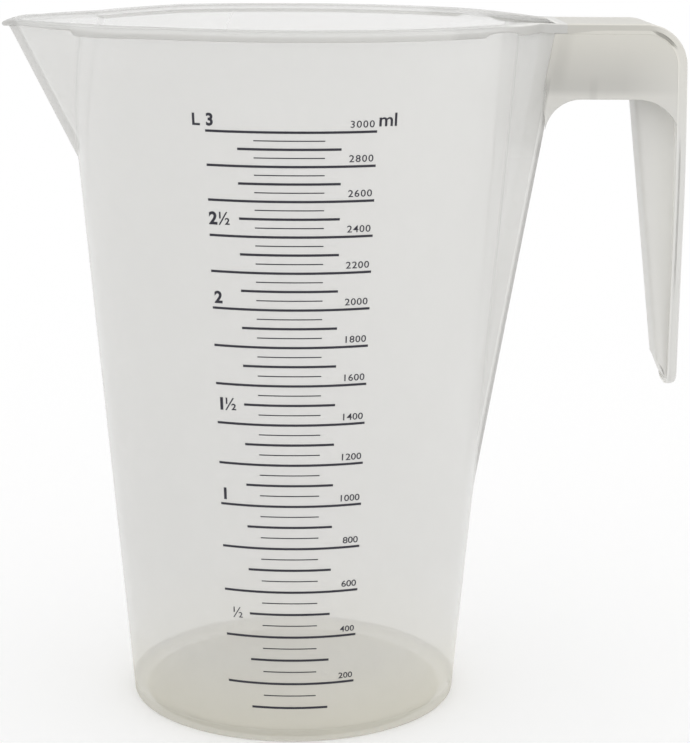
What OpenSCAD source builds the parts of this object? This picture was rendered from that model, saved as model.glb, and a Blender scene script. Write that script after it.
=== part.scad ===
// Three litre measuring jug with an open hook handle.
// The jug is one thin-walled moulding with a printed scale. Its moulded
// features and its three sets of printed lines are separate solids here.
// The origin is the middle of the base on the table, +Z is up, the handle
// is on the +X side and the spout on the -X side, and the scale faces -Y.

/* [Body] */
// Outer diameter of the body at the table
base_d = 118.9; // [105:0.1:130]
// Outer diameter of the body at the rim
mouth_d = 161.8; // [155:0.2:175]
// Height from the table to the top of the rim
body_h = 248; // [235:0.5:260]
// Thickness of the body wall
wall = 2; // [1.6:0.1:2.4]

/* [Base] */
// Thickness of the floor
floor_t = 2.3; // [1.8:0.1:3.2]
// Height of the standing ring under the floor
foot_h = 1.5; // [1:0.1:2]
// Width of the standing ring
foot_w = 5.5; // [4:0.1:8]
// Radius of the rounded outer edge of the standing ring
foot_round = 0.7; // [0.4:0.1:0.9]
// Diameter of the injection gate's low boss under the floor
gate_d = 8; // [6:0.5:12]

/* [Rim] */
// How far the rim flange stands out from the wall
rim_w = 6.6; // [5:0.1:8]
// Thickness of the rim flange
rim_t = 2; // [1.6:0.1:2.4]
// Depth of the skirt under the flange's outer edge
skirt_h = 1.4; // [1:0.1:2]
// Thickness of that skirt
skirt_t = 1.3; // [1:0.1:1.8]
// Angle of the flange's end, seen from above, away from the spout's middle
rim_end = 31.5; // [30:0.5:36]
// Angle of the skirt's end, seen from above, away from the handle's middle
skirt_end = 43; // [30:0.5:50]

/* [Spout] */
// How far the spout's ridge reaches out from the wall at the lip
spout_out = 20.5; // [16:0.1:23]
// Lean of the spout's ridge from the vertical, in degrees
spout_lean = 26.6; // [24:0.2:30]
// Radius of the spout's rounded nose, square to the ridge
nose_r = 31; // [27:0.5:34]
// Half the angle between the spout's two sides
spout_half = 43.5; // [41:0.5:46]
// Wall thickness at the spout's nose
nose_wall = 3.7; // [3:0.1:4.2]
// How far the lip stands out at the tip
lip_w = 1.2; // [0.8:0.1:2]
// Thickness of the lip
lip_t = 1.7; // [1.2:0.1:2]
// How far the spout lip and the arm lie below the rim's top
lip_drop = 1; // [0.6:0.1:1.4]
// Length over which the rim falls to the spout's lip
fall_len = 30; // [20:1:40]

/* [Handle column] */
// How far the column's sides lie inside the arm's edges at the top
column_inset = 1; // [0.5:0.1:2.5]
// Width of the column where it leaves the body
column_low_w = 30.8; // [26:0.2:34]
// Height at which the column's outer face leaves the body
column_z = 93.5; // [85:0.5:120]
// How far the column stands out from the body at the top
column_out = 12.2; // [9:0.1:13]
// Flare of the column's sides towards the body, in degrees
column_flare = 17.2; // [14:0.2:20]
// Radius of the column's outer corners
column_round = 2.4; // [2.2:0.1:4]

/* [Arm and grip] */
// Width of the arm and the grip
arm_w = 43; // [40:0.5:48]
// Length of the arm's straight plate, outside the column
arm_len = 28; // [24:0.5:34]
// Thickness of the arm plate and the grip strap
plate_t = 2; // [1.6:0.1:2.4]
// Outer radius of the bend between the arm and the grip
bend_r = 14.6; // [13:0.1:19]
// Length of the grip strap below the bend
grip_len = 116.2; // [100:0.2:125]
// Outward lean of the grip strap, in degrees
grip_lean = 1.4; // [0:0.1:3]
// Width of the grip strap just above its rounded tip
grip_tip_w = 22.4; // [20.4:0.2:28]
// Radius of the fillets between the arm and the rim
arm_fillet = 10; // [7:0.5:14]
// Depth of the bead along the edges of the arm and the grip
bead_h = 1.4; // [1:0.1:2]
// Width of that bead
bead_w = 1.3; // [1:0.1:1.8]

/* [Ribs] */
// Height of the arm from the top of its plate to the cheeks' lower edge
cheek_h = 25.9; // [20:0.1:30]
// Thickness of the cheeks
cheek_t = 1.8; // [1.4:0.1:2.2]
// Radius of the arch beside the column
arch_in_r = 12.5; // [9:0.5:13]
// Radius of the arch beside the grip
arch_out_r = 15; // [11:0.5:16]
// Width of the channel behind the grip strap
channel_w = 16.6; // [14:0.2:18]
// Depth of the channel at the arm, from the strap's outer face
channel_top_depth = 18.7; // [17:0.1:21]
// Depth of the channel near the grip's tip, from the strap's outer face
channel_low_depth = 7.7; // [7:0.1:10]
// Thickness of the channel's walls and of the ribs in the arm
rib_t = 1.8; // [1.4:0.1:2.2]
// Thickness of the two short cross ribs
cross_t = 2; // [1.4:0.1:2.4]
// Height of the two short cross ribs
cross_h = 7.4; // [5:0.1:10]
// Height of the channel's lower corner above the grip's tip
channel_cut_h = 11; // [9:0.2:16]
// Height of the channel's lower end, at the strap, above the grip's tip
channel_end_h = 3; // [3:0.2:6]

/* [Printed scale] */
// Largest volume on the scale, in millilitres
scale_max = 3000; // [2000:200:3000]
// Height of the bold lines
bold_h = 0.8; // [0.6:0.1:1.2]
// Height of the fine lines
fine_h = 0.35; // [0.25:0.05:0.5]
// Thickness of the printed ink
ink_t = 0.1; // [0.08:0.01:0.2]
// Angle round the body that a line at each 200 ml takes
long_angle = 41.4; // [36:0.2:46]
// Angle round the body that a line at each odd 100 ml takes
medium_angle = 24.9; // [20:0.1:30]
// Angle round the body that a fine line takes
fine_angle = 17; // [12:0.2:20]

/* [Hidden] */
$fn = 180;

// one overrun serves every cut, and one thin slice every hulled section
over = 1;
slice = 0.01;

// body: a cone whose radius grows with the height
slope = (mouth_d - base_d) / 2 / body_h;
function outer_r(z) = base_d / 2 + slope * z;
function inner_r(z) = outer_r(z) - wall;
floor_z = foot_h + floor_t;
gate_h = foot_h / 2;

// rim
rim_z = body_h - rim_t;
rim_r = mouth_d / 2 + rim_w;
skirt_z = rim_z - skirt_h;

// spout: a prism that leans out, cut by the body's cone. In its section, x
// runs from the ridge towards the jug's middle.
lip_z = body_h - lip_drop;
fall_x = -rim_r * cos(rim_end);
spout_x = -(outer_r(lip_z) + spout_out);
spout_depth_share = 2.3;
spout_run_share = 3.2;
spout_above_share = 0.6;
spout_depth = spout_out * spout_depth_share;
spout_run = spout_out * spout_run_share;
nose_steps = 12;
nose_in_tip = nose_r - (nose_r - wall) / sin(spout_half);
nose_in_r = (nose_wall - nose_in_tip) / (1 / sin(spout_half) - 1);

// lip: its outer edge swells from the nose to the flange's end
lip_nose_share = 0.9;
lip_swell_share = 0.4;
lip_swell = lip_w;

// column: two sections joined by straight lines. The back lies in the hollow.
column_w = arm_w - 2 * column_inset;
column_back = column_w / 2;
column_top = lip_z;
column_bottom_share = 0.6;
column_bottom = column_z * column_bottom_share;
face_slope = (outer_r(column_top) + column_out - outer_r(column_z)) / (column_top - column_z);
side_slope = (column_w - column_low_w) / 2 / (column_top - column_z);
column_lean = atan(face_slope);
corner_shift = (1 - sin(column_flare)) / cos(column_flare);
function face_x(z) = outer_r(column_z) + face_slope * (z - column_z);
function side_y(z) = column_low_w / 2 + side_slope * (z - column_z);

// arm, bend and strap, all under one outer skin
arm_z = lip_z;
under_z = arm_z - plate_t;
arm_y = arm_w / 2;
bend_x = face_x(arm_z) + arm_len;
bend_z = arm_z - bend_r;
bend_in_r = bend_r - plate_t;
tip_z = bend_z - grip_len;
tip_round_share = 0.34;
tip_round = grip_tip_w * tip_round_share;
function strap_out(z) = bend_x + bend_r + (bend_z - z) * tan(grip_lean);
function strap_in(z) = strap_out(z) - plate_t;
// half widths of the strap, as shares of the way from the tip's width to the
// arm's, at heights that are shares of the strap's length
strap_height_shares = [0.42, 0.6, 0.7, 0.76];
strap_width_shares = [0.57, 0.87, 0.98, 1];

// fillet between the arm and the rim, seen from above
fillet_y = arm_y + arm_fillet;
fillet_x = sqrt(pow(rim_r + arm_fillet, 2) - pow(fillet_y, 2));

// cheeks: upright walls with an arch below
cheek_z = arm_z - cheek_h;
cheek_y = arm_y - bead_w;
arch_toe_share = 1 / 6;
arch_toe = rib_t * arch_toe_share;
arch_in_z = cheek_z - arch_in_r;
arch_out_z = cheek_z - arch_out_r;
arch_in_x = face_x(arch_in_z) + arch_toe + arch_in_r / cos(column_lean);
arch_out_x = strap_in(arch_out_z) - arch_toe - arch_out_r;

// channel behind the strap: its web leans from the arm to the grip's tip
channel_y = channel_w / 2;
channel_low_share = 0.14;
channel_low_z = tip_z + grip_len * channel_low_share;
channel_end_z = tip_z + channel_end_h;
channel_cut_z = tip_z + channel_cut_h;
channel_cut_share = 0.75;
web_top_x = strap_out(bend_z) - channel_top_depth;
web_slope = (strap_out(channel_low_z) - channel_low_depth - web_top_x) / (under_z - channel_low_z);
function web_x(z) = web_top_x + web_slope * (under_z - z);
cross_place_share = 0.48;
cross_x = face_x(cheek_z) + arm_len * cross_place_share;

// printed scale: the height at which the hollow cone holds a volume
ml = 1000;
long_step = 200;
half_step = long_step / 2;
fine_step = long_step / 4;
floor_r = inner_r(floor_z);
function level(v) = floor_z + (pow(3 * slope * v * ml / PI + pow(floor_r, 3), 1 / 3) - floor_r) / slope;
long_turn = -0.9;
short_turn = -1.3;

// Solids that several pieces share

// The solid cone of the body, drawn in by a margin
module cone(margin, z0, z1) {
    translate([0, 0, z0])
        cylinder(h = z1 - z0, r1 = outer_r(z0) - margin, r2 = outer_r(z1) - margin);
}

// Section of the spout, square to its ridge: a wedge with a round nose
module spout_section(tip, r) {
    turn = 90 - spout_half;
    nose_x = tip + r * (1 - cos(turn));
    back_y = r * sin(turn) + (spout_depth - nose_x) * tan(spout_half);
    polygon(concat(
        [for (i = [-nose_steps : nose_steps]) [
            tip + r - r * cos(turn * i / nose_steps), r * sin(turn * i / nose_steps)
        ]],
        [[spout_depth, back_y], [spout_depth, -back_y]]
    ));
}

module spout_prism(tip, r) {
    translate([spout_x, 0, lip_z])
        rotate([0, -spout_lean, 0])
            translate([0, 0, -spout_run])
                linear_extrude(spout_run * (1 + spout_above_share))
                    spout_section(tip, r);
}

module spout_outer() { spout_prism(0, nose_r); }

module spout_hollow() { spout_prism(nose_wall, nose_in_r); }

// Corners and back of the column's section at a height, drawn in by a margin
module column_section(z, margin) {
    x = face_x(z) - margin;
    back_x = outer_r(z) - column_back;
    y = side_y(z) - margin * corner_shift;
    r = column_round - margin / 2;
    back_y = y + (x - back_x) * tan(column_flare);
    translate([0, 0, z])
        linear_extrude(slice) {
            for (side = [-1, 1])
                translate([x - r, side * (y - r * corner_shift)]) circle(r, $fn = 32);
            translate([back_x - slice, -back_y]) square([slice, 2 * back_y]);
        }
}

module column_solid(margin) {
    hull() {
        column_section(column_bottom, margin);
        column_section(body_h + over, margin);
    }
}

// Side view of the space under the arm's plate, inside the bend and the strap
module under_skin(z) {
    back_x = outer_r(0);
    polygon([[back_x, z], [strap_in(z), z], [strap_in(bend_z), bend_z], [back_x, bend_z]]);
    translate([back_x, bend_z]) square([bend_x - back_x, bend_in_r]);
    translate([bend_x, bend_z]) circle(bend_in_r);
}

// Stands a side view up, between two places along Y
module stand(y0, y1) {
    translate([0, y1, 0]) rotate([90, 0, 0]) linear_extrude(y1 - y0) children();
}

// Front view of the strap, drawn in by a margin: half of it, mirrored
module strap_outline(margin) {
    tip_y = grip_tip_w / 2 - margin;
    r = tip_round - margin;
    round_z = tip_z + tip_round;
    steps = len(strap_height_shares) - 1;
    for (side = [0, 1])
        mirror([side, 0]) {
            polygon(concat(
                [[0, tip_z + margin], [tip_y - r, tip_z + margin], [tip_y, round_z]],
                [for (i = [0 : steps]) [
                    tip_y + (arm_w - grip_tip_w) / 2 * strap_width_shares[i],
                    tip_z + grip_len * strap_height_shares[i]
                ]],
                [[arm_y - margin, bend_z], [0, bend_z]]
            ));
            translate([tip_y - r, round_z]) circle(r);
        }
}

module strap_block(margin) {
    translate([bend_x, 0, 0])
        rotate([90, 0, 90])
            linear_extrude(bend_r * 2)
                strap_outline(margin);
}

// Plan of what is cut away outside the fillet between the rim and the arm
module arm_corner(side) {
    far = 2 * fillet_y;
    translate([fillet_x, side * fillet_y]) circle(arm_fillet);
    polygon([
        [fillet_x * far / fillet_y, side * far], [0, side * far], [0, 0],
        [fillet_x, side * fillet_y]
    ]);
}

// What lies above the rim where it falls to the spout's lip
module rim_fall() {
    translate([fall_x, 0, lip_z])
        rotate([0, -atan(lip_drop / fall_len), 0])
            translate([-body_h, -body_h, 0])
                cube([body_h * 2, body_h * 2, rim_w]);
}

// Half of the space: -1 is the front half, where the scale is
module half(side) {
    size = body_h * 2;
    translate([-size / 2, side < 0 ? -size : 0, -size / 2]) cube(size);
}

// Base

module base_floor() {
    color("gainsboro") {
        cone(wall, foot_h, floor_z);
        translate([0, 0, gate_h]) cylinder(h = floor_z - floor_t / 2 - gate_h, d = gate_d);
    }
}

module foot_ring() {
    top_r = outer_r(foot_h);
    edge_r = outer_r(0);
    centre_r = edge_r - foot_round;
    color("gainsboro")
        rotate_extrude()
            polygon(concat(
                [[edge_r - foot_w, 0]],
                [for (a = [-90 : 22.5 : 0]) [
                    centre_r + foot_round * cos(a), foot_round + foot_round * sin(a)
                ]],
                [[top_r, foot_h], [edge_r - foot_w, foot_h]]
            ));
}

// Wall, with its openings into the spout and the handle's column

module body_wall() {
    color("whitesmoke")
        difference() {
            cone(0, foot_h, body_h);
            cone(wall, foot_h - over, body_h + over);
            spout_hollow();
            column_solid(wall);
            rim_fall();
        }
}

// Spout

module pouring_spout() {
    top = lip_z - lip_t;
    color("whitesmoke")
        difference() {
            spout_outer();
            spout_hollow();
            cone(0, 0, body_h + spout_run);
            translate([-body_h, -body_h, top]) cube(body_h * 2);
        }
}

// Plan of the lip's outer edge
module lip_plan() {
    nose_x = spout_x + nose_r * lip_nose_share;
    r = nose_r * lip_nose_share + lip_w;
    turn = 90 - atan(tan(spout_half) * cos(spout_lean));
    start = [nose_x - r * cos(turn), r * sin(turn)];
    end = [-rim_r * cos(rim_end), rim_r * sin(rim_end)];
    run = end - start;
    along = run / norm(run);
    swell = start + run * lip_swell_share + [-along[1], along[0]] * lip_swell;
    polygon(concat(
        [for (i = [-nose_steps : nose_steps]) [
            nose_x - r * cos(turn * i / nose_steps), r * sin(turn * i / nose_steps)
        ]],
        [swell, end, [0, 0], [end[0], -end[1]], [swell[0], -swell[1]]]
    ));
}

module spout_lip() {
    color("whitesmoke")
        difference() {
            translate([0, 0, lip_z - lip_t]) linear_extrude(lip_t) lip_plan();
            spout_hollow();
            cone(0, 0, body_h + over);
        }
}

// Rim flange and the skirt under its edge, in a front and a rear half

// A sweep from the flange's end at the spout to an angle from the handle
module rim_arc(side, end) {
    rotate([0, 0, side < 0 ? rim_end - 180 : end])
        rotate_extrude(angle = 180 - rim_end - end)
            children();
}

module rim_lip(side) {
    color("whitesmoke")
        difference() {
            rim_arc(side, 0)
                polygon([
                    [outer_r(rim_z), rim_z], [rim_r, rim_z],
                    [rim_r, body_h], [outer_r(body_h), body_h]
                ]);
            column_solid(0);
            rim_fall();
        }
}

module rim_skirt(side) {
    color("gainsboro")
        rim_arc(side, skirt_end)
            translate([rim_r - skirt_t, skirt_z]) square([skirt_t, skirt_h]);
}

module rim_lip_front() { rim_lip(-1); }
module rim_lip_rear() { rim_lip(1); }
module rim_skirt_front() { rim_skirt(-1); }
module rim_skirt_rear() { rim_skirt(1); }

// Handle: a hollow column that opens into the jug

module handle_column() {
    color("whitesmoke")
        difference() {
            column_solid(0);
            column_solid(wall);
            cone(0, 0, body_h + 2 * over);
            translate([0, -arm_w, column_top]) cube([body_h, 2 * arm_w, 3 * over]);
        }
}

// Handle: the arm's plate, with its gussets to the rim

module handle_arm() {
    color("whitesmoke")
        difference() {
            translate([0, 0, under_z])
                linear_extrude(plate_t)
                    difference() {
                        polygon([
                            [0, -fillet_y], [fillet_x, -fillet_y], [fillet_x, -arm_y],
                            [bend_x, -arm_y], [bend_x, arm_y],
                            [fillet_x, arm_y], [fillet_x, fillet_y], [0, fillet_y]
                        ]);
                        circle(rim_r);
                        for (side = [-1, 1]) arm_corner(side);
                    }
            column_solid(0);
        }
}

// Handle: the bend and the strap

module bend_ring(r_out, r_in, y0, y1) {
    stand(y0, y1)
        translate([bend_x, bend_z])
            intersection() {
                difference() {
                    circle(r_out);
                    circle(r_in);
                }
                square(r_out * 2);
            }
}

module handle_bend() {
    color("whitesmoke") bend_ring(bend_r, bend_in_r, -arm_y, arm_y);
}

module grip_strap() {
    color("whitesmoke")
        intersection() {
            stand(-arm_y, arm_y)
                polygon([
                    [strap_in(bend_z), bend_z], [strap_out(bend_z), bend_z],
                    [strap_out(tip_z), tip_z], [strap_in(tip_z), tip_z]
                ]);
            strap_block(0);
        }
}

// Handle: the bead that runs along both edges of the arm, bend and strap

module edge_bead(side) {
    y0 = side < 0 ? -arm_y : arm_y - bead_w;
    color("gainsboro") {
        difference() {
            translate([0, 0, under_z - bead_h])
                linear_extrude(bead_h)
                    difference() {
                        union() {
                            translate([fillet_x - slice, y0])
                                square([bend_x - fillet_x + slice, bead_w]);
                            intersection() {
                                translate([0, side < 0 ? -fillet_y : 0]) square([fillet_x, fillet_y]);
                                translate([fillet_x, side * fillet_y]) circle(arm_fillet + bead_w);
                            }
                        }
                        circle(rim_r);
                        arm_corner(side);
                    }
            column_solid(0);
        }
        bend_ring(bend_in_r, bend_in_r - bead_h, y0, y0 + bead_w);
        intersection() {
            stand(-arm_y, arm_y)
                polygon([
                    [strap_in(bend_z) - bead_h, bend_z], [strap_in(bend_z), bend_z],
                    [strap_in(tip_z), tip_z], [strap_in(tip_z) - bead_h, tip_z]
                ]);
            difference() {
                strap_block(0);
                strap_block(bead_w);
            }
            half(side);
        }
    }
}

module edge_bead_front() { edge_bead(-1); }
module edge_bead_rear() { edge_bead(1); }

// Handle: cheeks at the front and the rear of the arm, with the arch

module arch() {
    translate([arch_in_x, arch_in_z]) circle(arch_in_r);
    translate([arch_out_x, arch_out_z]) circle(arch_out_r);
    polygon([
        [arch_in_x - arch_in_r, arch_in_z], [arch_in_x, arch_in_z], [arch_in_x, cheek_z],
        [arch_out_x, cheek_z], [arch_out_x, arch_out_z], [arch_out_x + arch_out_r, arch_out_z],
        [arch_out_x + arch_out_r, tip_z], [arch_in_x - arch_in_r, tip_z]
    ]);
}

module cheek(side) {
    y0 = side < 0 ? -cheek_y : cheek_y - cheek_t;
    color("gainsboro")
        difference() {
            stand(y0, y0 + cheek_t)
                difference() {
                    under_skin(arch_out_z);
                    arch();
                    square([arch_in_x, arch_in_z]);
                }
            column_solid(0);
            cone(0, 0, body_h + over);
        }
}

module cheek_front() { cheek(-1); }
module cheek_rear() { cheek(1); }

// Handle: the channel behind the strap, closed by a slanted end

module channel_view(margin, top) {
    low_x = web_x(channel_cut_z) + margin;
    end_x = strap_in(channel_end_z);
    end_z = channel_end_z + margin;
    polygon([
        [web_x(top) + margin, top], [low_x, channel_cut_z + margin],
        [low_x + (end_x - low_x) * channel_cut_share, end_z],
        [strap_out(end_z), end_z],
        [strap_out(bend_z), bend_z], [strap_out(bend_z), top]
    ]);
}

module grip_channel() {
    color("gainsboro")
        difference() {
            stand(-channel_y, channel_y)
                intersection() {
                    channel_view(0, under_z);
                    under_skin(tip_z);
                }
            stand(-channel_y + rib_t, channel_y - rib_t) channel_view(rib_t, under_z + over);
        }
}

// Handle: two ribs along the arm and two short cross ribs

module arm_rib(side) {
    y0 = side < 0 ? -channel_y : channel_y - rib_t;
    back_x = outer_r(body_h);
    color("gainsboro")
        difference() {
            stand(y0, y0 + rib_t)
                polygon([
                    [back_x, cheek_z], [web_x(cheek_z), cheek_z],
                    [web_x(under_z), under_z], [back_x, under_z]
                ]);
            column_solid(0);
        }
}

module arm_rib_front() { arm_rib(-1); }
module arm_rib_rear() { arm_rib(1); }

module cross_rib(side) {
    length = cheek_y - cheek_t - channel_y;
    y0 = side < 0 ? -channel_y - length : channel_y;
    color("gainsboro")
        translate([cross_x, y0, cheek_z]) cube([cross_t, length, cross_h]);
}

module cross_rib_front() { cross_rib(-1); }
module cross_rib_rear() { cross_rib(1); }

// Printed scale: thin strips of ink that lie on the cone

module mark(v, angle, turn, h) {
    z0 = level(v) - h / 2;
    z1 = level(v) + h / 2;
    rotate([0, 0, -90 + turn - angle / 2])
        rotate_extrude(angle = angle)
            polygon([
                [outer_r(z0), z0], [outer_r(z0) + ink_t, z0],
                [outer_r(z1) + ink_t, z1], [outer_r(z1), z1]
            ]);
}

module marks_long() {
    color("black")
        for (v = [long_step : long_step : scale_max]) mark(v, long_angle, long_turn, bold_h);
}

module marks_medium() {
    color("black")
        for (v = [half_step : long_step : scale_max]) mark(v, medium_angle, short_turn, bold_h);
}

module marks_fine() {
    color("black")
        for (v = [half_step + fine_step : half_step : scale_max])
            mark(v, fine_angle, short_turn, fine_h);
}

base_floor();
foot_ring();
body_wall();
pouring_spout();
spout_lip();
rim_lip_front();
rim_lip_rear();
rim_skirt_front();
rim_skirt_rear();
handle_column();
handle_arm();
handle_bend();
grip_strap();
edge_bead_front();
edge_bead_rear();
cheek_front();
cheek_rear();
grip_channel();
arm_rib_front();
arm_rib_rear();
cross_rib_front();
cross_rib_rear();
marks_long();
marks_medium();
marks_fine();
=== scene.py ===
import math
import bmesh
import bpy
from mathutils import Matrix, Vector


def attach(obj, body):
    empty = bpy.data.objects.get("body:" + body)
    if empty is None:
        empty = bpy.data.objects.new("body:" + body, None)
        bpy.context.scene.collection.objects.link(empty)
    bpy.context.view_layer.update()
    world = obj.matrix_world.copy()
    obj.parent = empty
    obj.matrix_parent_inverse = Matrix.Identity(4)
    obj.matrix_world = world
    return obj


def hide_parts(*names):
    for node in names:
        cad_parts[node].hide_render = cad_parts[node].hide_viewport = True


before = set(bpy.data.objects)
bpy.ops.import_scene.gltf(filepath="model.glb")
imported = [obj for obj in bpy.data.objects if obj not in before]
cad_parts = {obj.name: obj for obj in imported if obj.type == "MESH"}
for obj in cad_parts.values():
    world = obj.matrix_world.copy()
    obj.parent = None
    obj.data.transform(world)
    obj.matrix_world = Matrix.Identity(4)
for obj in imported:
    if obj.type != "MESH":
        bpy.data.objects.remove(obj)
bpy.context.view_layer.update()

# Camera: it stands three quarters of a metre in front of the scale, a little
# above the rim, and looks down at the jug as the photograph does.
camera_place = Vector((-0.0005, -0.75044, 0.2908))
camera_pitch = 0.2241
camera_yaw = 0.0254
camera_roll = 0.0072
camera_data = bpy.data.cameras.new("camera")
camera_data.sensor_width = 36
camera_data.lens = 102.07
camera_data.clip_start = 0.01
camera = bpy.data.objects.new("camera", camera_data)
forward = Vector((
    math.sin(camera_yaw) * math.cos(camera_pitch),
    math.cos(camera_yaw) * math.cos(camera_pitch),
    -math.sin(camera_pitch),
))
level_right = Vector((math.cos(camera_yaw), -math.sin(camera_yaw), 0))
level_up = level_right.cross(forward)
right = math.cos(camera_roll) * level_right + math.sin(camera_roll) * level_up
up = -math.sin(camera_roll) * level_right + math.cos(camera_roll) * level_up
camera.matrix_world = Matrix((
    (right.x, up.x, -forward.x, camera_place.x),
    (right.y, up.y, -forward.y, camera_place.y),
    (right.z, up.z, -forward.z, camera_place.z),
    (0, 0, 0, 1),
))
bpy.context.scene.collection.objects.link(camera)
bpy.context.scene.camera = camera

# Jug: floor, standing ring, wall, spout, column and rim are one thin
# moulding of translucent polypropylene. Its skin is drawn up ring by ring,
# from the gate under the floor, over the rim and down inside to the floor.
mm = 0.001
base_r = 59.45
rim_top = 248.0
wall_slope = 21.45 / rim_top
wall = 2.0
floor_z = 3.8
lip_z = 247.0
rim_r = 87.5
rim_end = math.radians(31.5)

# The spout is a leaning nose between two flat sides. Its wall is thicker at
# the ridge, and its lip is turned out.
spout_reach = 20.5
spout_x = -(base_r + wall_slope * lip_z + spout_reach)
spout_lean = math.radians(26.6)
spout_side = math.radians(43.5)
spout_turn = math.pi / 2 - spout_side
nose_r = 31.0
nose_wall = 3.7
nose_in_r = 32.73
lip_w = 1.2
lip_core = nose_r * 0.9
lip_r = lip_core + lip_w
lip_x = spout_x + lip_core
lip_turn = math.pi / 2 - math.atan(math.tan(spout_side) * math.cos(spout_lean))
lip_end_turn = math.atan2(lip_r * math.sin(lip_turn), -lip_x + lip_r * math.cos(lip_turn))
lip_end_reach = math.hypot(lip_r * math.sin(lip_turn), -lip_x + lip_r * math.cos(lip_turn))

# The column grows out of the wall opposite, deeper and wider towards the arm.
column_z = 93.5
column_depth = 12.2
column_foot_half = 15.4
column_top_half = 20.5
column_slope = wall_slope + column_depth / (lip_z - column_z)
column_side_slope = (column_top_half - column_foot_half) / (lip_z - column_z)
column_flare = math.radians(17.2)
column_round = 2.4
corner_setback = (1 - math.sin(column_flare)) / math.cos(column_flare)
arm_half = 21.5
arm_start = 93.6
arm_turn = math.atan2(arm_half, arm_start)
arm_fillet = 10.0
fillet_centre = Vector((
    math.sqrt((rim_r + arm_fillet) ** 2 - (arm_half + arm_fillet) ** 2), arm_half + arm_fillet,
))

# Neither reaches further round the wall than this angle, and the creases
# where they meet it have small fillets.
widest_turn = 1.2
crease_outside = 0.8
crease_inside = 1.2


def cone_r(z):
    return base_r + wall_slope * z


def filleted(a, b, reach):
    """The larger of two radii, with a fillet where they cross."""
    near = max(reach - abs(a - b), 0) / reach
    return max(a, b) + near * near * reach / 4


def eased(x, low, high):
    """0 up to the low end, 1 from the high end on, and a soft rise between."""
    t = min(max((x - low) / (high - low), 0), 1)
    return t * t * (3 - 2 * t)


def spout_depth(z):
    """Distance from the axis to the spout's ridge, square to the ridge."""
    return -spout_x * math.cos(spout_lean) + (z - lip_z) * math.sin(spout_lean)


def spout_r(turn, z, tip, r):
    """Reach of the spout from the axis, at an angle away from the ridge."""
    run = Vector((-math.cos(turn) * math.cos(spout_lean), abs(math.sin(turn))))
    start = Vector((spout_depth(z) - tip - r, 0))
    side = Vector((-math.cos(spout_turn), math.sin(spout_turn)))
    half = start.dot(run)
    inside = half * half - run.dot(run) * (start.dot(start) - r * r)
    if inside > 0:
        reach = (-half + math.sqrt(inside)) / run.dot(run)
        spot = start + run * reach
        if math.atan2(spot.y, -spot.x) <= spout_turn:
            return max(reach, 0)
    if run.dot(side) <= 0:
        return 0
    return max((r - start.dot(side)) / run.dot(side), 0)


def column_face(z):
    """Distance from the axis to the column's outer face."""
    return cone_r(column_z) + column_slope * (z - column_z)


def column_corner(z, margin):
    """The column's face, the centre of its rounded edge, and the edge's radius."""
    face = column_face(z) - margin
    r = column_round - margin / 2
    y = column_foot_half + column_side_slope * (z - column_z) - (margin + r) * corner_setback
    return face, Vector((face - r, y)), r


def column_r(turn, z, margin):
    """Reach of the handle's column from the axis, at an angle away from +X."""
    if abs(turn) > widest_turn:
        return 0
    face, corner, r = column_corner(z, margin)
    run = Vector((math.cos(turn), abs(math.sin(turn))))
    side = Vector((math.sin(column_flare), math.cos(column_flare)))
    half = corner.dot(run)
    inside = half * half - corner.dot(corner) + r * r
    if inside > 0:
        reach = half + math.sqrt(inside)
        spot = run * reach - corner
        if 0 <= math.atan2(spot.y, spot.x) <= math.pi / 2 - column_flare:
            return reach
    return min(face / run.x, (r + corner.dot(side)) / run.dot(side))


def skin_r(turn, z, margin, tip, tip_r, crease):
    """Reach of the whole skin: the cone, with spout and column blended in."""
    away = math.pi - abs(turn)
    r = cone_r(z) - margin
    if away < widest_turn:
        r = filleted(r, spout_r(away, z, tip, tip_r), crease)
    return filleted(r, column_r(turn, z, margin), crease)


def outer_r(turn, z):
    return skin_r(turn, z, 0, 0, nose_r, crease_outside)


def inner_r(turn, z):
    return skin_r(turn, z, wall, nose_wall, nose_in_r, crease_inside)


def rim_edge(turn):
    """A point on the rim's outer edge from above, and the way it faces."""
    away = math.pi - abs(turn)
    side = -1 if turn < 0 else 1
    run = Vector((math.cos(turn), abs(math.sin(turn))))
    if away < rim_end:
        if away < lip_end_turn:
            half = -lip_x * math.cos(away)
            reach = half + math.sqrt(half * half - lip_x * lip_x + lip_r * lip_r)
        else:
            share = (rim_end - away) / (rim_end - lip_end_turn)
            reach = rim_r + (lip_end_reach - rim_r) * share ** 0.92
        spot = run * reach
        centre = Vector((lip_x * (1 - eased(away, lip_end_turn, rim_end)), 0))
        face = (spot - centre).normalized()
    elif abs(turn) < arm_turn:
        spot = run * (arm_start / run.x)
        face = Vector((1, 0))
    elif abs(turn) < math.atan2(arm_half, fillet_centre.x):
        spot = run * (arm_half / run.y)
        face = Vector((0, 1))
    elif abs(turn) < math.atan2(fillet_centre.y, fillet_centre.x):
        half = fillet_centre.dot(run)
        spot = run * (half - math.sqrt(half * half - fillet_centre.dot(fillet_centre) + arm_fillet ** 2))
        face = (fillet_centre - spot) / arm_fillet
    else:
        spot = run * rim_r
        face = run
    return Vector((spot.x, spot.y * side)), Vector((face.x, face.y * side))


# Beside the lip the rim rises by one in thirty, and the spout's nose dips.
lip_run = 30
nose_dip = 1.2
nose_dip_x = -96.5
nose_dip_run = 6


def rim_z(turn, x):
    """Height of the rim's top: it falls to the spout's lip, and in two steps to the arm."""
    side = abs(turn)
    z = rim_top - 0.4 * (1 - eased(side, 0.35, 0.8)) - 0.6 * (1 - eased(side, 0.21, 0.32))
    z = min(z, lip_z + max(0, (x + rim_r * math.cos(rim_end)) / lip_run))
    return z - nose_dip * min(max((nose_dip_x - x) / nose_dip_run, 0), 1) ** 2


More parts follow.
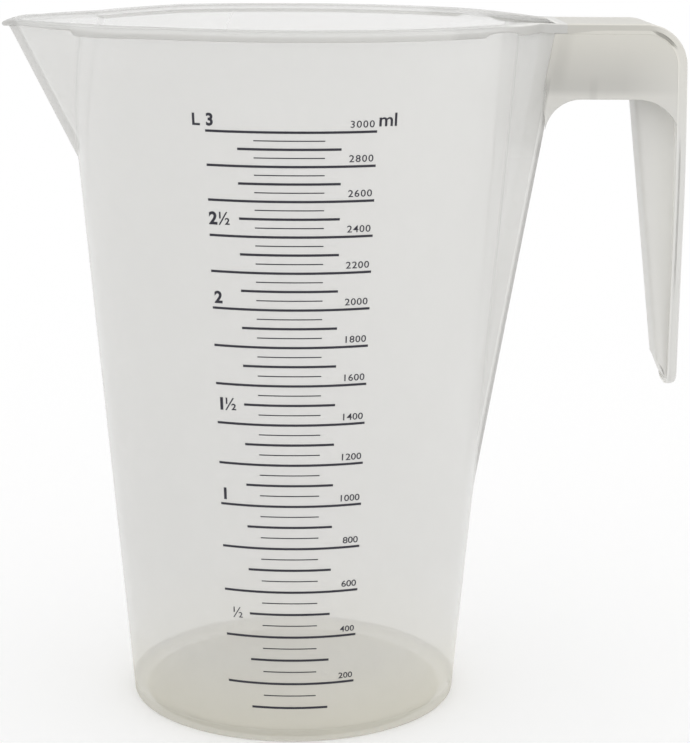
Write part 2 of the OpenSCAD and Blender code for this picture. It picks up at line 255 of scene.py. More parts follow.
def lofted(rings):
    """A closed skin through rings of points, with the first and last filled."""
    skin = bmesh.new()
    order = skin.verts.layers.int.new("order")
    milky = skin.verts.layers.float.new("milk")
    shady = skin.verts.layers.float.new("shade")
    made = bmesh.ops.create_circle(skin, segments=len(rings[0][0]))["verts"]
    for number, vert in enumerate(made):
        vert[order] = number
    bmesh.ops.contextual_create(skin, geom=skin.edges[:])
    for number, (points, milks, shades) in enumerate(rings):
        if number:
            last = set(made)
            edges = [edge for vert in made for edge in vert.link_edges if last.issuperset(edge.verts)]
            grown = bmesh.ops.extrude_edge_only(skin, edges=list(dict.fromkeys(edges)))["geom"]
            made = [vert for vert in grown if isinstance(vert, bmesh.types.BMVert)]
        for vert in made:
            vert.co = Vector(points[vert[order]]) * mm
            vert[milky] = milks[vert[order]]
            vert[shady] = shades[vert[order]]
    bmesh.ops.contextual_create(skin, geom=[edge for edge in skin.edges if edge.is_boundary])
    bmesh.ops.recalc_face_normals(skin, faces=skin.faces)
    skin.verts.index_update()
    skin.faces.sort(key=face_rank)
    return skin


def face_rank(face):
    """A number that puts the faces in the order of their rings in every run."""
    corners = [vert.index for vert in face.verts]
    return min(corners) * 1000000 + max(corners)


def finished(skin, name, sharp=30):
    """A piece from a skin: smooth, but for edges sharper than an angle."""
    mesh = bpy.data.meshes.new(name)
    skin.to_mesh(mesh)
    skin.free()
    mesh.shade_smooth()
    mesh.set_sharp_from_angle(angle=math.radians(sharp))
    piece = bpy.data.objects.new(name, mesh)
    bpy.context.scene.collection.objects.link(piece)
    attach(piece, "root")
    return piece


def crossing(gap, low, high):
    """The angle at which a gap that is open at the low end has closed."""
    for _ in range(24):
        middle = (low + high) / 2
        low, high = (middle, high) if gap(middle) > 0 else (low, middle)
    return low


def turns_at(z, inside=False, arm=False):
    """Angles of a ring's points, as many in each ring, which keep to the creases."""
    margin = wall if inside else 0
    tip, r = (nose_wall, nose_in_r) if inside else (0, nose_r)
    radius = cone_r(z) - margin
    face, corner, round_r = column_corner(z, margin)
    face_end = math.atan2(corner.y, face)
    side_start = arm_turn if arm else math.atan2(
        corner.y + round_r * math.cos(column_flare), corner.x + round_r * math.sin(column_flare),
    )
    column = max(crossing(lambda turn: column_r(turn, z, margin) - radius, face_end, 0.6), side_start * 1.06)
    spout = max(crossing(lambda away: spout_r(away, z, tip, r) - radius, 0, 1), 0.03)
    nose_x = (spout_depth(z) - tip - r * (1 - math.cos(spout_turn))) / math.cos(spout_lean)
    nose_end = min(math.atan2(r * math.sin(spout_turn), nose_x), 0.7 * spout)
    half = [0]
    for stop, steps in (
        (face_end, 10), (side_start, 4), (column * 0.97, 12), (column * 1.03, 2),
        (math.pi - spout * 1.02, 66), (math.pi - spout * 0.98, 2), (math.pi - nose_end, 12), (math.pi, 14),
    ):
        start = half[-1]
        half += [start + (stop - start) * (i + 1) / steps for i in range(steps)]
    return [-turn for turn in reversed(half[1:])] + half[:-1]


rim_turns = turns_at(lip_z, arm=True)
jug_rings = []


def ring(radius, height, milk, shade=0.0, inside=False):
    """Adds a ring round the axis, its values given for all or place by place."""
    if not callable(height):
        turns = turns_at(height, inside)
    elif inside:
        turns = turns_at(lip_z - 2, inside)
    else:
        turns = rim_turns
    points = []
    for turn in turns:
        z = height(turn) if callable(height) else height
        r = radius(turn, z) if callable(radius) else radius
        points.append((r * math.cos(turn), r * math.sin(turn), z))
    milks = [milk(turn) if callable(milk) else milk for turn in turns]
    shades = [shade(turn) if callable(shade) else shade for turn in turns]
    jug_rings.append((points, milks, shades))


# Milk is how much a surface hides of what lies behind it, shade how much
# darker it looks: some of it density, some painted shade, and a shade below
# nought is painted light. The floor and the foot hide more than the wall; the
# foot looks darker from its thickness, the floor partly from its slanted
# thickness and partly as painted shadow from the table beneath it.
milk_outside = 0.41
milk_inside = 0.11
milk_floor = 0.5
shade_floor = 0.14
milk_foot = 0.62
shade_foot = 0.3
foot_top = 4.5
gate_mark = ((3.6, 0.75), (3.9, 0.85), (4, 1.1), (4.1, 1.4), (4.4, 1.5))
standing_ring = (
    (53.4, 1.5), (53.8, 1.35), (53.95, 1.1), (53.95, 0.3), (54.2, 0.05), (54.5, 0), (58.6, 0), (58.9, 0.05),
    (59.2, 0.25), (59.42, 0.55),
)
for r, z in gate_mark + standing_ring:
    ring(r, z, milk_floor, shade_floor)
heights = [0.8, 1.5, 3, 4.4, 4.8, 8.5, 15, 25, 40, 55, 66]
heights += [70 + 2.5 * i for i in range(17)]
heights += [115 + 5 * i for i in range(13)]
heights += [177.5 + 2.5 * i for i in range(27)]
for z in heights:
    if z < foot_top:
        ring(outer_r, z, milk_foot, shade_foot)
    else:
        ring(outer_r, z, milk_outside)

# The rim's flange has a skirt all round but at the spout and beside the arm,
# where a short bead of the same depth follows the corner. Each row of its edge
# gives the way in and down at the lip, with the skirt and without it, and then
# its milk and shade. A look is a pair of those two. The darker rows at the foot
# of the skirt and the flange's lower edge are painted shade under the flange.
flange = 2.0
lip_t = 1.7
skirt_stop = (0.735, 0.775)
corner_bead_stop = (0.5, 0.62)
rim_rows = (
    ((0.9, 1.7), (1.6, 2.0), (0.7, 2.0), 0.5, 0.2),
    ((0.55, 1.62), (1.35, 2.1), (0.4, 2.0), 0.5, 0.3),
    ((0.25, 1.4), (1.3, 3.15), (0.15, 1.97), 0.5, 0.35),
    ((0.08, 1.15), (1.05, 3.4), (0.04, 1.9), 0.65, 0.5),
    ((0, 0.95), (0.25, 3.4), (0, 1.8), 0.7, 0.55),
    ((0, 0.85), (0, 3.15), (0, 1.7), 0.6, 0.25),
    ((0, 0.75), (0, 2.1), (0, 1.6), 0.6, 0.1),
    ((0.08, 0.55), (0, 1.2), (0, 1.2), 0.6, 0.1),
    ((0.25, 0.3), (0, 0.5), (0, 0.5), 0.6, 0.15),
    ((0.55, 0.08), (0.12, 0.12), (0.12, 0.12), 0.75, 0.55),
    ((0.9, 0), (0.45, 0), (0.45, 0), 0.5, 0.0),
)
rows_under_arm = 8
rows_on_edge = 9
# Looks beside the arm: the edge, a painted highlight along the top edge, and painted light on the top over
# the arm's root; then the spout's lip.
beside_arm_look = (0.97, 0.27)
arm_highlight_look = (0.8, -0.9)
arm_root_look = (0.85, -0.3)
lip_look = (0.7, 0.4)


def blend(a, b, share):
    return a + (b - a) * share


def lip_share(turn):
    """1 along the spout, 0 from the flange's end on."""
    return 1 - eased(math.pi - abs(turn), rim_end - 0.01, rim_end + 0.05)


def skirt_share(turn):
    """1 where the rim has its skirt or bead, 0 along the spout and between the two."""
    return (1 - lip_share(turn)) * max(eased(abs(turn), *skirt_stop), 1 - eased(abs(turn), *corner_bead_stop))


def arm_share(turn):
    """1 where the rim runs into the arm, 0 where it has its skirt."""
    return 1 - eased(abs(turn), 0.5, 0.75)


def root_share(turn):
    """1 across the root of the arm, 0 beside it."""
    return 1 - eased(abs(turn), 0.2, 0.25)


def far_share(turn):
    """1 along the rear of the rim, which is seen from its inner side."""
    return eased(math.sin(turn), -0.1, 0.1)


def rim_ring(number):
    """A ring of the rim's edge, which stops where the arm's own surface goes on."""
    lip, skirt, plain, milk, shade = rim_rows[number]
    points, milks, shades = [], [], []
    for turn in rim_turns:
        spot, face = rim_edge(turn)
        parts = ((lip_share(turn), lip), (skirt_share(turn), skirt),
                 (1 - lip_share(turn) - skirt_share(turn), plain))
        inset, drop = [sum(share * row[i] for share, row in parts) for i in (0, 1)]
        arm_look = beside_arm_look if number < rows_on_edge else arm_highlight_look
        far = far_share(turn)
        shown = 1
        if abs(turn) < arm_turn - 0.001:
            if number < rows_under_arm:
                shown = 0
            else:
                arm_look, far = arm_root_look, 0
                inset, drop = inset * 0.05, drop * 0.05
        at = spot - face * inset
        points.append((at.x, at.y, rim_z(turn, spot.x) - drop))
        milk_here = blend(blend(milk, arm_look[0], arm_share(turn)), lip_look[0], lip_share(turn))
        shade_here = blend(blend(shade, arm_look[1], arm_share(turn)), lip_look[1], lip_share(turn))
        milks.append(milk_here * (1 - 0.4 * far) * shown)
        shades.append(shade_here * (1 - 0.5 * far))
    jug_rings.append((points, milks, shades))


def under_z(turn):
    """Height of the flange's underside."""
    return rim_z(turn, rim_edge(turn)[0].x) - blend(flange, lip_t, lip_share(turn))


def under_r(turn, z):
    """Reach of the fillet under the flange, which stays clear of its skirt."""
    to_edge = 1.7 * (1 - arm_share(turn)) + 0.7
    return min(outer_r(turn, z) + 0.5, rim_edge(turn)[0].length - to_edge)


def top_z(turn):
    """Height of the rim's top at the mouth."""
    return rim_z(turn, inner_r(turn, lip_z) * math.cos(turn))


def line_milk(turn):
    """The rim's inner edge shows as a fine dark line, lighter beside the arm, and at the arm's root as a
    painted highlight.
    """
    return blend(blend(0.6, 0.2, arm_share(turn) * far_share(turn)), 0.85, root_share(turn))


def line_shade(turn):
    return blend(blend(0.3, -0.4, arm_share(turn)), -1.0, root_share(turn))


ring(outer_r, lambda turn: under_z(turn) - 0.5, milk_outside)
ring(lambda turn, z: outer_r(turn, z) + 0.15, lambda turn: under_z(turn) - 0.13, 0.45, 0.1)
ring(under_r, under_z, 0.45, 0.1)
for number in range(len(rim_rows)):
    rim_ring(number)
# Over the arm's root the top is opaque and gets painted light.
ring(
    lambda turn, z: min(inner_r(turn, z) + 0.4, rim_edge(turn)[0].length - 1), top_z,
    lambda turn: blend(0.42, 0.85, root_share(turn)), lambda turn: -0.3 * root_share(turn),
)
ring(lambda turn, z: inner_r(turn, z) + 0.12, lambda turn: top_z(turn) - 0.12, line_milk, line_shade)
ring(inner_r, lambda turn: top_z(turn) - 0.4, line_milk, line_shade)
ring(inner_r, lambda turn: top_z(turn) - 0.9, milk_inside, inside=True)

# Inside, a fillet leads from the wall to the floor, and denser milk with it.
fillet = ((2, 0), (1.24, 0.15), (0.58, 0.58), (0.15, 1.24), (0, 2))
for z in reversed(heights):
    if z > 8:
        ring(inner_r, z, milk_inside, inside=True)
for rise, inset in fillet:
    z = floor_z + rise
    ring(cone_r(z) - wall - inset, z, blend(milk_inside, 0.4, inset / 2), inside=True)
for r in (46, 20):
    ring(r, floor_z, milk_floor, shade_floor)
jug = finished(lofted(jug_rings), "jug_moulding")
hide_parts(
    "base_floor", "foot_ring", "body_wall", "pouring_spout", "spout_lip",
    "rim_lip_front", "rim_lip_rear", "rim_skirt_front", "rim_skirt_rear", "handle_column",
)


class Value:
    """A shader socket that adds Math nodes when it is used in arithmetic."""

    def __init__(self, finish, socket):
        self.finish = finish
        self.socket = socket

    def math(self, operation, *others):
        return self.finish.add("ShaderNodeMath", {"operation": operation}, self, *others)

    def __add__(self, other):
        return self.math("ADD", other)

    def __sub__(self, other):
        return self.math("SUBTRACT", other)

    def __rsub__(self, other):
        return self.finish.add("ShaderNodeMath", {"operation": "SUBTRACT"}, other, self)

    def __mul__(self, other):
        return self.math("MULTIPLY", other)

    __radd__ = __add__
    __rmul__ = __mul__


class Finish:
    """A material under construction: adds nodes and links their sockets."""

    def __init__(self, name):
        self.material = bpy.data.materials.new(name)
        self.material.use_nodes = True
        self.tree = self.material.node_tree
        self.shader = self.tree.nodes["Principled BSDF"]

    def join(self, value, socket):
        if isinstance(value, Value):
            self.tree.links.new(value.socket, socket)
        else:
            socket.default_value = value

    def add(self, kind, settings, *values, out=0, **named):
        """A node by its type, its settings and the values or links of its sockets."""
        node = self.tree.nodes.new(kind)
        for key, value in settings.items():
            setattr(node, key, value)
        for number, value in enumerate(values):
            self.join(value, node.inputs[number])
        for key, value in named.items():
            self.join(value, node.inputs[int(key) if key.isdigit() else key.replace("_", " ")])
        return Value(self, node.outputs[out])

    def ramp(self, value, low, high):
        """0 below the low end to 1 past the high end, which may lie the other way."""
        return self.add("ShaderNodeMapRange", {}, value, float(low), float(high), 0.0, 1.0)

    def near(self, value, low, high):
        """The same ramp on a value's distance from nought."""
        return self.ramp(value.math("ABSOLUTE"), low, high)

    def set(self, **named):
        for key, value in named.items():
            self.join(value, self.shader.inputs[key.replace("_", " ")])


milky_white = (1.0, 0.992, 0.957, 1)
low_warmth = (1.0, 0.975, 0.875, 1)
high_warmth = (1.0, 0.985, 0.94, 1)
brightness = 0.652


def polypropylene(name, spots=None, warm=0.0):
    """Milky polypropylene. Its vertices carry how much it hides and darkens."""
    finish = Finish(name)
    milk = finish.add("ShaderNodeAttribute", {"attribute_name": "milk"}, out="Fac")
    shade = finish.add("ShaderNodeAttribute", {"attribute_name": "shade"}, out="Fac")
    place = finish.add("ShaderNodeTexCoord", {}, out="Object")
    cloud = finish.add("ShaderNodeTexNoise", {}, Vector=place, Scale=45.0, Detail=3.0, out="Fac")
    grain = finish.add("ShaderNodeTexNoise", {}, Vector=place, Scale=900.0, Detail=2.0, out="Fac")
    x, y, z = [finish.add("ShaderNodeSeparateXYZ", {}, place, out=axis) * 1000 for axis in "XYZ"]
    if spots:
        more_milk, more_shade = spots(finish, x, y, z)
        milk = milk + more_milk
        shade = shade + more_shade
    tint = milky_white
    for share, warmth in (
        (finish.ramp(z, 30.0, 3.0), low_warmth), (finish.ramp(z, 205.0, 240.0) * warm, high_warmth),
    ):
        tint = finish.add(
            "ShaderNodeMix", {"data_type": "RGBA", "blend_type": "MULTIPLY"}, out=2,
            Factor=share, **{"6": tint, "7": warmth},
        )
    level = brightness * (1 - shade * 0.4)
    tint = finish.add("ShaderNodeVectorMath", {"operation": "SCALE"}, tint, Scale=level)
    finish.set(
        Base_Color=tint, Roughness=0.3 + cloud * 0.1, IOR=1.49, Alpha=milk + (cloud - 0.5) * 0.03,
        Normal=finish.add("ShaderNodeBump", {}, Strength=0.03, Distance=0.0002, Height=grain),
    )
    return finish.material


def jug_spots(finish, x, y, z):
    """The spout's ridge, the creases and the column look denser in the photograph; the wall and the column's
    front get painted light.
    """
    side = y.math("ABSOLUTE")
    radius = (x * x + y * y).math("SQRT")
    off_cone = radius - cone_r(z)
    proud = finish.ramp(off_cone, 0.3, 0.8)

    # The spout: a band down the ridge, a little to the front, and the creases.
    at_spout = finish.ramp(x, -45.0, -47.0)
    nose_x = x * math.cos(spout_lean) + spout_depth(z) - nose_r
    ridge_turn = 0.13
    ridge = nose_x * math.cos(ridge_turn) + y * math.sin(ridge_turn) + nose_r
    band = finish.ramp(ridge, 3.0, 2.6) * finish.ramp(z, 186.0, 189.0) * proud
    off_web = nose_x * math.cos(spout_turn) - side * math.sin(spout_turn) + nose_r
    crease = finish.near(off_cone, 0.7, 0.0) * finish.near(off_web, 0.7, 0.0)

    # The column: denser in two steps at its head, and along its seams, its
    # upper front and its near corner; its front also gets painted light.
    at_column = finish.ramp(x, 50.0, 52.0)
    off_face = column_face(z) - x
    corner_y = column_foot_half + column_side_slope * (z - column_z) - corner_setback * column_round
    off_side = (
        column_round + (off_face - column_round) * math.sin(column_flare)
        + (corner_y - side) * math.cos(column_flare)
    )
    head = finish.ramp(z, 242.4, 242.7) * 0.15 + finish.ramp(z, 200.6, 201.4) * 0.1
    depth = finish.ramp(off_face, 14.0, 2.0) * finish.ramp(z, 184.0, 212.0) * 0.08
    seam = finish.near(off_cone, 0.8, 0.0) * finish.near(off_side, 0.8, 0.0)
    column = proud * (head + depth + 0.02) + seam * (0.3 + finish.ramp(z, 110.0, 180.0) * 0.4)
    front = finish.ramp(off_face, 2.5, 2.2) * proud * finish.ramp(z, 243.8, 243.3)
    front = front * (0.1 + finish.ramp(z, 200.0, 225.0) * 0.25)
    corner = finish.ramp(off_face, 1.9, 1.2) * finish.ramp(off_side, 1.9, 1.2) * proud
    corner = corner * finish.ramp(z, 218.0, 205.0) * finish.ramp(y, 0.0, -1.0)

    # The wall: clearer high at the rear, and painted light low down and to the right.
    clear = finish.ramp(z, 222.0, 238.0) * finish.ramp(y, 10.0, 30.0) * finish.ramp(z, 245.2, 244.8)
    foot = finish.ramp(radius, 58.0, 59.0) * finish.ramp(z, 5.0, 4.4)
    low = finish.ramp(z, 60.0, 20.0) * (1 - foot)
    painted_light_right = finish.ramp(x, -60.0, 50.0)

    more_milk = at_spout * (band * 0.36 + crease * 0.2) + at_column * (column * 0.4 + front + corner * 0.35)
    more_shade = at_spout * (band * 0.25 + crease * 0.6) + at_column * (column - front + corner * 0.9)
    return more_milk - clear * 0.08, more_shade - low * 0.32 - painted_light_right * 0.22


jug.data.materials.append(polypropylene("jug_polypropylene", jug_spots))

# Handle: an arm, a round bend and a hanging grip are one broad strap with a
# bead under both edges, moulded on to the column and the rim. The strap is
# drawn ring by ring along its run, and widens from the grip's tip to the arm.
plate = 2.0
bead_h = 1.4
bead_w = 1.3
arm_bead_w = 2.8
bend_x = 121.0
bend_r = 14.6
bend_z = lip_z - bend_r
bend_steps = 24
grip_lean = math.radians(1.4)
grip_len = 116.2
grip_hollow = 0.25
tip_z = bend_z - grip_len
tip_half = 11.2
tip_round = 7.6
tip_nose = 2.6

# Shares of the grip's length from its tip, and how much it has widened there.
half_stops = ((0.065, 0), (0.2, 0.2), (0.42, 0.57), (0.6, 0.87), (0.7, 0.97), (0.76, 1), (1.1, 1))


def strap_half(drop):
    """Half the strap's width, at a distance below the bend."""
    share = 1 - drop / grip_len
    for (low, a), (high, b) in zip(half_stops, half_stops[1:]):
        if share <= high:
            fit = blend(a, b, min(max((share - low) / (high - low), 0), 1))
            break
    half = blend(tip_half, arm_half, fit)
    left = tip_round - (grip_len - drop)
    if left > 0:
        half -= tip_round - math.sqrt(max(tip_round ** 2 - left ** 2, 0))
    return half


def strap_ring(
    start, along, half, arm=0.0, groove=0.0, hollow=0.0, wide=0.6, depth=0.6, dark=0.85,
    full=False, tuck=0.0, bead=arm_bead_w,
):
    """A closed section of the strap, square to its run: one half, then its mirror image."""
    out = Vector((-along.z, 0, along.x))
    round_e = min(0.5, half / 4)
    deep = plate + bead_h
    under = deep if full else plate
    cut = half - depth * groove
    # Looks of the section: painted light on the top, the beads and the inner face, which the plastic lights
    # through; painted highlights on the rounded edge and corner; painted shade, set by dark, in the groove
    # under the plate; the side lighter on the grip than on the arm.
    top = (blend(0.5, 0.85, arm), -0.3)
    edge = (0.8, -0.8)
    corner = (0.85, blend(-0.5, -1.0, arm))
    side = (0.92, blend(-0.2, 0.25, arm))
    groove_shadow = (0.92, blend(side[1], dark, groove))
    light = (0.9, blend(-0.75, -0.3, arm))
    turned = (blend(side[0], light[0], arm), blend(side[1], light[1], arm))
    inner = (blend(0.7, 0.9, arm), blend(-1.25, -0.9, arm))
    section = [
        (share * (half - round_e), hollow * (1 - share * share), top) for share in (0, 0.25, 0.5, 0.75)
    ]
    section += [
        (half - round_e, 0, edge), (half - round_e * 0.3, round_e * 0.3, corner),
        (half, round_e, side), (half, plate - 0.1, side),
        (cut, plate + 0.05, groove_shadow), (cut, plate + 0.05 + wide, groove_shadow), (half, plate + 0.2 + wide, turned),
        (half - 0.1, deep - 0.05, light), (half - 0.35, deep, light), (half - bead + 0.25, deep, light),
        (half - bead, max(deep - 0.25, under), light), (half - bead - 0.2, under, inner),
        (half * 0.5, under, inner), (0, under, inner),
    ]
    section += [(-across, down, look) for across, down, look in reversed(section[1:-1])]
    points = [
        tuple(start + Vector((0, across, 0)) - out * (tuck + down * (1 - tuck / deep)))
        for across, down, look in section
    ]
    return points, [look[0] for across, down, look in section], [look[1] for across, down, look in section]


strap_rings = []
for x in (arm_start, arm_start + 0.01, 95, 97, 99, 103, 108, 114, 119):
    wide = 0.05 + 1.1 * (1 - eased(x, arm_start, 106))
    strap_rings.append(strap_ring(Vector((x, 0, lip_z)), Vector((1, 0, 0)), arm_half, 1, wide=wide))
points, milks, shades = strap_rings[0]
strap_rings[0] = (points, [0] * len(milks), shades)
for step in range(bend_steps + 1):
    share = step / bend_steps
    turn = (math.pi / 2 - grip_lean) * share
    start = Vector((bend_x + bend_r * math.sin(turn), 0, bend_z + bend_r * math.cos(turn)))
    run = Vector((math.cos(turn), 0, -math.sin(turn)))
    arm = 1 - eased(turn, 0.1, 0.7)
    groove = eased(turn, 0.1, 0.4) * (1 - eased(turn, 0.8, 1.1))
    wide = 0.05 + 0.95 * groove
    strap_rings.append(strap_ring(start, run, arm_half, arm, groove, grip_hollow * share, wide))
bend_end = Vector((bend_x + bend_r * math.cos(grip_lean), 0, bend_z + bend_r * math.sin(grip_lean)))
down = Vector((math.sin(grip_lean), 0, -math.cos(grip_lean)))
drops = [3 * i for i in range(1, 35)]
drops += [105, 107, 109, 110.5, 112, 113.2, 114.2, 114.9, 115.4, 115.8, 116.1, grip_len]
for drop in drops:
    left = max(tip_nose - (grip_len - drop), 0)
    groove = eased(drop, 22, 34) * (1 - eased(drop, 70, 88))
    strap_rings.append(strap_ring(
        bend_end + down * drop, down, strap_half(drop), groove=groove,
        hollow=grip_hollow * (1 - eased(drop, 95, 112)),
        wide=0.35, depth=0.35, dark=0.3, full=drop > grip_len - bead_w,
        tuck=tip_nose - math.sqrt(tip_nose ** 2 - left ** 2),
        bead=blend(arm_bead_w, bead_w, eased(drop, 15, 30)),
    ))
strap = finished(lofted(strap_rings), "handle_strap")
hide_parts("handle_arm", "handle_bend", "grip_strap", "edge_bead_front", "edge_bead_rear")
strap.data.materials.append(polypropylene("strap_polypropylene", warm=1.0))

# Cheeks: an upright wall under each edge of the arm, with an arch below that
# gives room for the fingers. Each is a plate cut to the arch's outline, set
# under the plate of the arm and moulded into the column and the bend.
cheek_z = 221.1
cheek_out = 21.4
cheek_in = 19.4
cheek_round = 0.35
cheek_milk = 0.9
arch_column_r = 12.5
arch_strap_r = 15.0
arch_column_z = cheek_z - arch_column_r
arch_strap_z = cheek_z - arch_strap_r
column_lean = math.atan(column_slope)
under_arm = plate + bead_h - 0.15
root_above_arch = 14
behind_rib_x = 103.2
sunk = 0.3


def strap_in(z):
    """Distance from the axis to the grip strap's inner face."""
    return bend_x + bend_r + (bend_z - z) * math.tan(grip_lean) - plate


def arc(x, z, r, start, end, steps=12):
    """Points of an arc, seen from the side."""
    turns = [math.radians(start + (end - start) * i / steps) for i in range(steps + 1)]
    return [(x + r * math.cos(turn), z + r * math.sin(turn)) for turn in turns]


def plate_of(outline, near, far, rounding, milk):
    """A plate that stands along the arm: an outline seen from the side."""
    skin = bmesh.new()
    verts = [skin.verts.new((x * mm, near * mm, z * mm)) for x, z in outline]
    face = skin.faces.new(verts)
    grown = bmesh.ops.extrude_face_region(skin, geom=[face])["geom"]
    moved = [vert for vert in grown if isinstance(vert, bmesh.types.BMVert)]
    bmesh.ops.translate(skin, verts=moved, vec=(0, (far - near) * mm, 0))
    bmesh.ops.recalc_face_normals(skin, faces=skin.faces)
    sharp = [edge for edge in skin.edges if abs(edge.verts[0].co.y - edge.verts[1].co.y) < 0.1 * mm]
    bmesh.ops.bevel(
        skin, geom=sharp, offset=rounding * mm, segments=2, affect="EDGES", profile=0.5, material=-1,
    )
    milky = skin.verts.layers.float.new("milk")
    for vert in skin.verts:
        vert[milky] = milk
    return skin


cheek_outline = arc(bend_x, bend_z, bend_r - under_arm, 90, 0)
cheek_outline += arc(
    strap_in(arch_strap_z) - sunk - arch_strap_r, arch_strap_z, arch_strap_r,
    math.degrees(math.acos(1 - (bead_h - 0.45) / arch_strap_r)), 90,
)
cheek_outline += arc(
    column_face(arch_column_z) - 0.1 + arch_column_r / math.cos(column_lean), arch_column_z, arch_column_r,
    90, 180 - math.degrees(column_lean),
)


def cheek_spots(finish, x, y, z):
    """Painted shade darkens the cheek downwards, less at the bend and the arch, painted light lifts it all
    over; darker behind the cross rib and at the joint, it fades into the column.
    """
    down = finish.ramp(z, 243.5, 227.0)
    middle = finish.ramp(x, 131.0, 114.0)
    foot = finish.ramp(z, 222.0, 224.5)
    behind = finish.near(x - behind_rib_x, 1.8, 0.8) * finish.ramp(z, 230.0, 222.5)
    off_column = x - column_face(z)
    joint = finish.near(off_column - 0.5, 4.0, 1.0) * finish.ramp(z, 222.0, 230.0)
    outside = finish.ramp(y.math("ABSOLUTE"), 21.0, 21.3)
    buried_outside = finish.ramp(off_column, -1.2, -2.7) * finish.ramp(z, 229.0, 222.0)
    buried_inside = finish.ramp(off_column, 0.0, -0.15)
    buried = outside * buried_outside + (1 - outside) * buried_inside
    more_shade = down * (0.15 + middle * 0.42) * (0.15 + foot * 0.85) + behind * 0.2 + joint * 0.2 - 0.28
    return 0 - buried, more_shade


for name, side, overlap in (("front", -1, 3.3), ("rear", 1, 0.3)):
    root = [(column_face(z) - overlap, z) for z in (arch_column_z + root_above_arch, lip_z - under_arm)]
    cheek = finished(
        plate_of(cheek_outline + root, side * cheek_out, side * cheek_in, cheek_round, cheek_milk),
        "handle_cheek_" + name, 10,
    )
    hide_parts("cheek_" + name)
    cheek.data.materials.append(polypropylene("cheek_polypropylene_" + name, cheek_spots, 1.0))

# Grip channel: a hollow box behind the strap stiffens the grip and fills the
# hand. Its three walls are moulded with the strap, and its lower end is closed
# by a slanted, rounded wall.
channel_half = 8.3
channel_milk = 0.9
channel_steps = 32
channel_top = lip_z - plate + 0.2
channel_low_z = tip_z + grip_len * 0.14
channel_top_depth = 18.7
channel_low_depth = 7.7
channel_top_x = bend_x + bend_r - channel_top_depth
channel_low_x = strap_in(channel_low_z) + plate - channel_low_depth
channel_slope = (channel_low_x - channel_top_x) / (lip_z - plate - channel_low_z)
channel_end_z = 118.2
channel_end_rise = 8.6
channel_corner = ((0, 2.4), (0.5, 1.0), (1.3, 0.3), (2.4, 0), (channel_half - 3, 0))


def web_x(z):
    """Distance from the axis to the channel's wall that faces the column."""
    return channel_top_x + channel_slope * (lip_z - plate - z)


def channel_far(z):
    """Where the channel's sides end, just inside the strap's skin."""
    if z < bend_z:
        return strap_in(z) + 0.2
    return bend_x + math.sqrt(max((bend_r - plate + 0.2) ** 2 - (z - bend_z) ** 2, 0))


side_points = [(1, channel_half, 0), (0.55, channel_half, 0)]
side_points += [(0, channel_half - inset, setback) for inset, setback in channel_corner]
loop = side_points + [(share, -across, setback) for share, across, setback in reversed(side_points)]
channel_rings = []
for step in range(channel_steps + 1):
    points = []
    for share, across, setback in loop:
        slant = min(share + setback / 9, 1)
        end_z = channel_end_z + channel_end_rise * (1 - slant) ** 2.4
        z = blend(channel_top, end_z, step / channel_steps)
        points.append((blend(web_x(z) + setback, channel_far(z), share), across, z))
    channel_rings.append((points, [channel_milk] * len(points), [0.0] * len(points)))


def channel_spots(finish, x, y, z):
    """Painted light: the wall is lighter all over, more so towards the strap, which lights it through, and
    less so low down.
    """
    return 0.0, finish.ramp(strap_in(z) - x, 12.0, 0.0) * -0.45 + finish.ramp(z, 200.0, 140.0) * 0.2 - 0.6


channel = finished(lofted(channel_rings), "grip_channel_wall")
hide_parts("grip_channel")
channel.data.materials.append(polypropylene("channel_polypropylene", channel_spots))

# Ribs: two run along the inside of the arm from the column to the channel,
# and a short one crosses to each cheek. All are moulded with the arm.
rib = 1.8
rib_milk = 0.4
rib_round = 0.3
cross_round = 0.5
cross_from_column = 13.44
cross_x = column_face(cheek_z) + cross_from_column
cross_w = 2
cross_h = 7.4
for name, side in (("front", -1), ("rear", 1)):
    outline = [
        (column_face(channel_top) - sunk, channel_top), (web_x(channel_top) + sunk, channel_top),
        (web_x(cheek_z) + sunk, cheek_z), (column_face(cheek_z) - sunk, cheek_z),
    ]
    arm_rib = finished(
        plate_of(outline, side * channel_half, side * (channel_half - rib), rib_round, rib_milk),
        "arm_rib_wall_" + name, 10,
    )
    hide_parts("arm_rib_" + name)
    arm_rib.data.materials.append(polypropylene("rib_polypropylene_" + name))
    outline = [
        (cross_x, cheek_z + cross_h), (cross_x + cross_w, cheek_z + cross_h),
        (cross_x + cross_w, cheek_z), (cross_x, cheek_z),
    ]
    cross = finished(
        plate_of(outline, side * (channel_half - 0.2), side * (cheek_in + 0.2), cross_round, rib_milk),
        "cross_rib_wall_" + name, 10,
    )
    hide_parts("cross_rib_" + name)
    cross.data.materials.append(polypropylene("cross_polypropylene_" + name))

# Printed scale: the lines, the numbers and the two signs for the units are
# one pass of dark ink on the outside of the wall, a tenth of a millimetre
# thick. The numbers follow the cone.
ink = Finish("scale_ink")
ink.set(Base_Color=(0.012, 0.011, 0.022, 1), Roughness=0.45)
ink_t = 0.1
ink_sunk = 0.02
front_turn = 90
figures_right = 19.3
figure_pitch = 1.6
figure_stretch = 1.15
figure_bold = 0.006
figure_lift = 1.4
for name in ("marks_long", "marks_medium", "marks_fine"):
    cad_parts[name].data.materials.clear()
    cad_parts[name].data.materials.append(ink.material)


def line_z(volume):
    """Height at which the hollow cone holds a volume in millilitres."""
    floor_r = cone_r(floor_z) - wall
    level_r = (3 * wall_slope * volume * 1000 / math.pi + floor_r ** 3) ** (1 / 3)
    return floor_z + (level_r - floor_r) / wall_slope


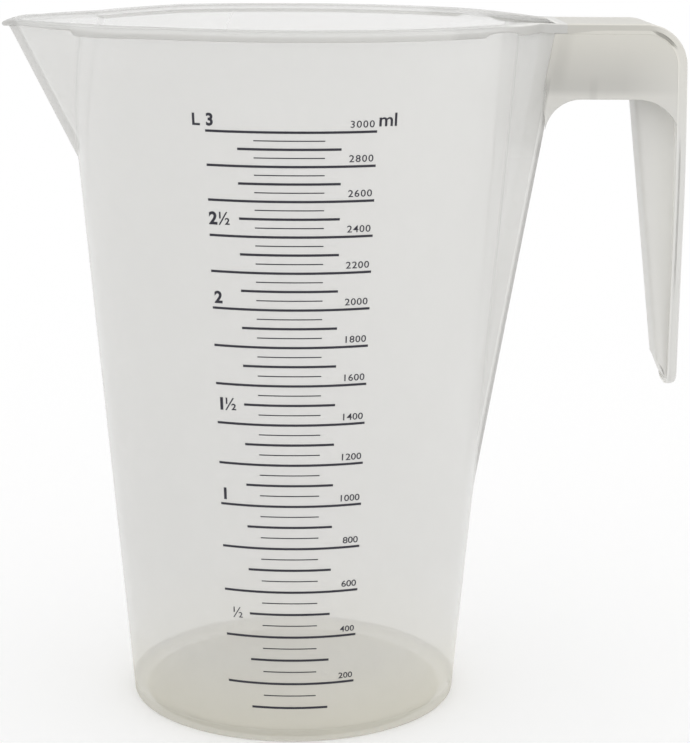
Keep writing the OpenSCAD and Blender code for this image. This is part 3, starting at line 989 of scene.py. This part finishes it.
def printed(words, low, height, place, stretch, bold, align="left"):
    """Words as ink on the cone: their lower edge, height and place round it in degrees."""
    curve = bpy.data.curves.new("words", "FONT")
    curve.body = words
    curve.size = 1
    curve.extrude = 0.5
    curve.offset = bold
    flat = bpy.data.objects.new("words", curve)
    bpy.context.scene.collection.objects.link(flat)
    mesh = bpy.data.meshes.new_from_object(flat.evaluated_get(bpy.context.evaluated_depsgraph_get()))
    bpy.data.objects.remove(flat)
    xs = [vert.co.x for vert in mesh.vertices]
    ys = [vert.co.y for vert in mesh.vertices]
    scale = height / (max(ys) - min(ys))
    anchor = min(xs) if align == "left" else (max(xs) + min(xs)) / 2
    across = scale * stretch / cone_r(low)
    for vert in mesh.vertices:
        z = low + (vert.co.y - min(ys)) * scale
        turn = math.radians(place - front_turn) + (vert.co.x - anchor) * across
        r = cone_r(z) + (ink_t if vert.co.z > 0 else -ink_sunk)
        vert.co = Vector((r * math.cos(turn), r * math.sin(turn), z)) * mm
    return mesh


meshes = []
for volume in range(200, 3001, 200):
    digits = str(volume)
    height = 2.3 if volume > 500 else 2.1
    for number, digit in enumerate(digits):
        middle = figures_right - figure_pitch * (len(digits) - number - 0.5)
        low = line_z(volume) + figure_lift
        meshes.append(printed(digit, low, height, middle, figure_stretch, figure_bold, "middle"))
for words, low, height, left, stretch, bold in (
    ("3", line_z(3000) + 1.6, 4.2, -21.3, 1.0, 0.035), ("2", line_z(2500) - 2.4, 4.4, -21.6, 1.0, 0.035),
    ("½", line_z(2500) - 2.4, 4.4, -19.1, 0.95, 0.01), ("2", line_z(2000) + 1.6, 4.2, -21.0, 1.0, 0.035),
    ("1", line_z(1500) - 2.4, 4.4, -20.6, 1.0, 0.035), ("½", line_z(1500) - 2.4, 4.4, -19.2, 0.95, 0.01),
    ("1", line_z(1000) + 1.6, 4.2, -20.6, 1.0, 0.035), ("½", line_z(500) - 2.0, 4.0, -19.2, 0.95, 0.0),
    ("L", line_z(3000) + 1.6, 4.0, -24.9, 1.1, 0.02), ("ml", line_z(3000) + 1.6, 4.3, 20.3, 1.15, 0.012),
):
    meshes.append(printed(words, low, height, left, stretch, bold))
skin = bmesh.new()
for mesh in meshes:
    skin.from_mesh(mesh)
bmesh.ops.remove_doubles(skin, verts=skin.verts, dist=0.000001)
bmesh.ops.recalc_face_normals(skin, faces=skin.faces)
numbers = finished(skin, "scale_numbers")
numbers.data.materials.append(ink.material)

# Stage: a plain white table under even, soft light from all round. A line of
# sight may pass 32 see-through surfaces, as the jug has many in a row.
table_size = 12
table_skin = bmesh.new()
bmesh.ops.create_grid(table_skin, x_segments=1, y_segments=1, size=table_size)
table_mesh = bpy.data.meshes.new("table")
table_skin.to_mesh(table_mesh)
table_skin.free()
table = bpy.data.objects.new("table", table_mesh)
bpy.context.scene.collection.objects.link(table)
table_finish = Finish("table_white")
table_finish.set(Base_Color=(1, 1, 1, 1), Roughness=1.0, Specular_IOR_Level=0.0)
table.data.materials.append(table_finish.material)

world = bpy.data.worlds.new("studio")
world.use_nodes = True
surround = world.node_tree.nodes["Background"]
surround.inputs["Color"].default_value = (1, 1, 1, 1)
surround.inputs["Strength"].default_value = 1.0
bpy.context.scene.world = world
bpy.context.scene.cycles.transparent_max_bounces = 32
bpy.context.scene.view_settings.view_transform = "Standard"
